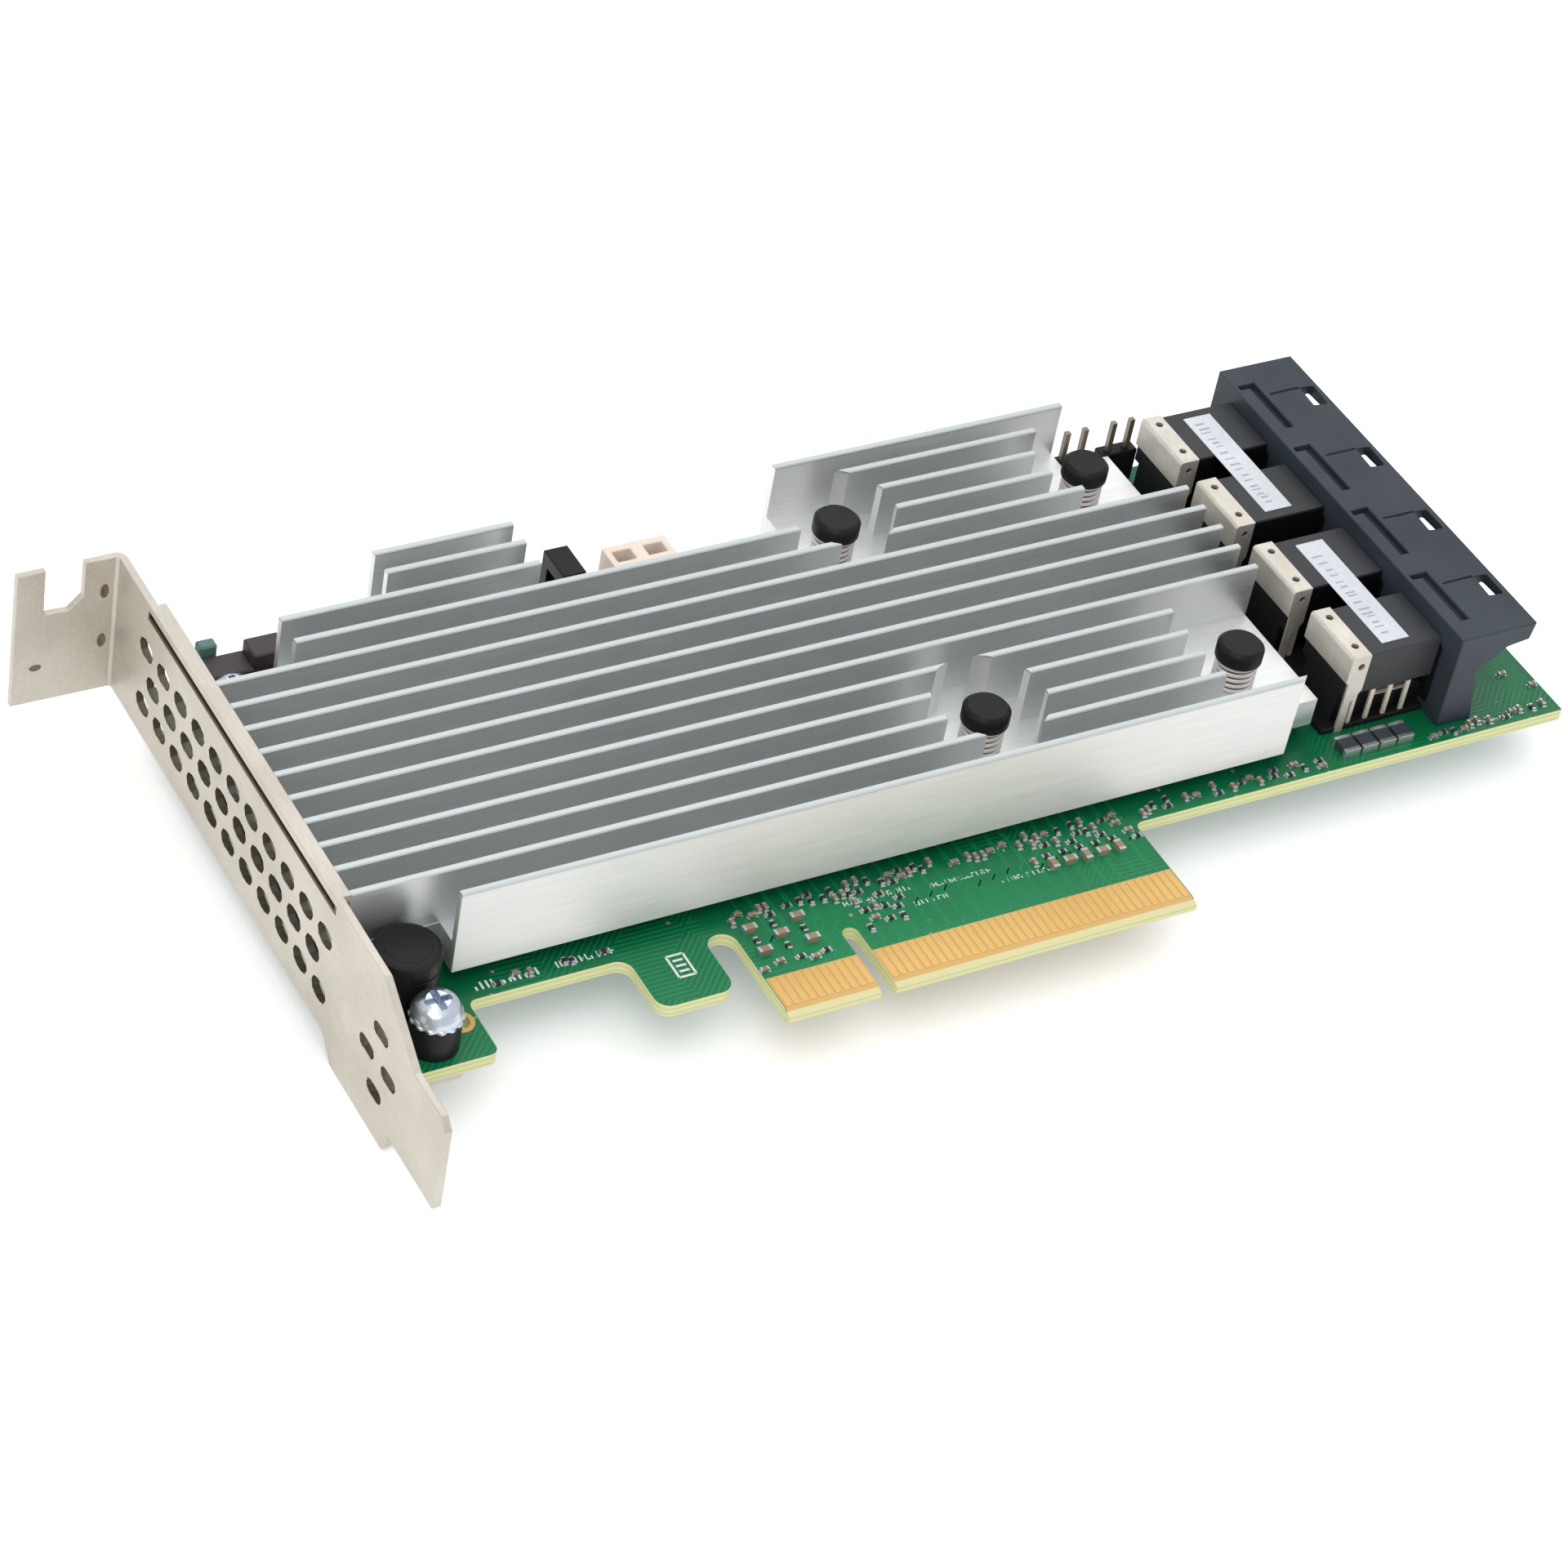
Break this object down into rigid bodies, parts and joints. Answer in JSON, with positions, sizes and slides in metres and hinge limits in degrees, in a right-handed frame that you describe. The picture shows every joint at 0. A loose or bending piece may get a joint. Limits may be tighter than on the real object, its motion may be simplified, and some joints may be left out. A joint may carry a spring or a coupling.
{
  "type": "raid controller card",
  "caption": "Low-profile plug-in storage controller card with a finned heatsink on push pins, a vented slot bracket, an edge connector and a row of cable ports.",
  "frame": {"origin": "centre of the keying notch at the tip of the card edge, on the board's component face", "axes": "+X from the slot bracket to the cable ports, +Y from the card edge to the board's far edge, +Z away from the component face"},
  "size_m": [0.1674, 0.0848, 0.0212],
  "materials": {
    "board": "green solder mask over woven laminate",
    "gold": "thin gold plate",
    "bracket": "nickel-plated sheet steel, satin",
    "steel": "bright zinc plate",
    "heatsink": "satin anodised extrusion, milled",
    "black_plastic": "moulded nylon, fine grain",
    "grey_plastic": "moulded glass-filled polymer",
    "beige_plastic": "moulded natural nylon",
    "chip": "moulded chip package",
    "pad": "soft thermal pad",
    "shield": "tin-plated spring strip",
    "label": "blank paper label",
    "ceramic": "fired ceramic body, fine grain",
    "ferrite": "dark pressed body with a dull sheen"
  },
  "bodies": {
    "root": {"blank_label_1": "label", "blank_label_2": "label", "bracket_screw_front": "steel", "bracket_screw_rear": "steel", "bracket_spacer_front": "black_plastic", "bracket_spacer_rear": "black_plastic", "buzzer": "black_plastic", "circuit_board": "board", "controller_lid": "steel", "controller_package": "board", "controller_pad": "pad", "edge_contacts_bottom": "gold", "edge_contacts_top": "gold", "filter_blocks": "ferrite", "front_capacitors": "ceramic", "front_resistors": "chip", "heatsink": "heatsink", "memory_chips": "chip", "memory_pads": "pad", "pin_header_bases": "black_plastic", "pin_header_pins": "gold", "pin_spring_1": "steel", "pin_spring_2": "steel", "pin_spring_3": "steel", "pin_spring_4": "steel", "port_contacts_1": "gold", "port_contacts_2": "gold", "port_contacts_3": "gold", "port_contacts_4": "gold", "port_housing": "grey_plastic", "port_leads": "gold", "port_module_1": "grey_plastic", "port_module_2": "grey_plastic", "port_module_3": "grey_plastic", "port_module_4": "grey_plastic", "port_shield_1": "shield", "port_shield_2": "shield", "port_shield_3": "shield", "port_shield_4": "shield", "push_pin_1": "black_plastic", "push_pin_2": "black_plastic", "push_pin_3": "black_plastic", "push_pin_4": "black_plastic", "shrouded_socket": "black_plastic", "slot_bracket": "bracket", "stepped_socket": "black_plastic", "two_way_header": "beige_plastic", "underside_capacitors": "ceramic", "underside_memory_chip": "chip"}
  },
  "joints": []
}
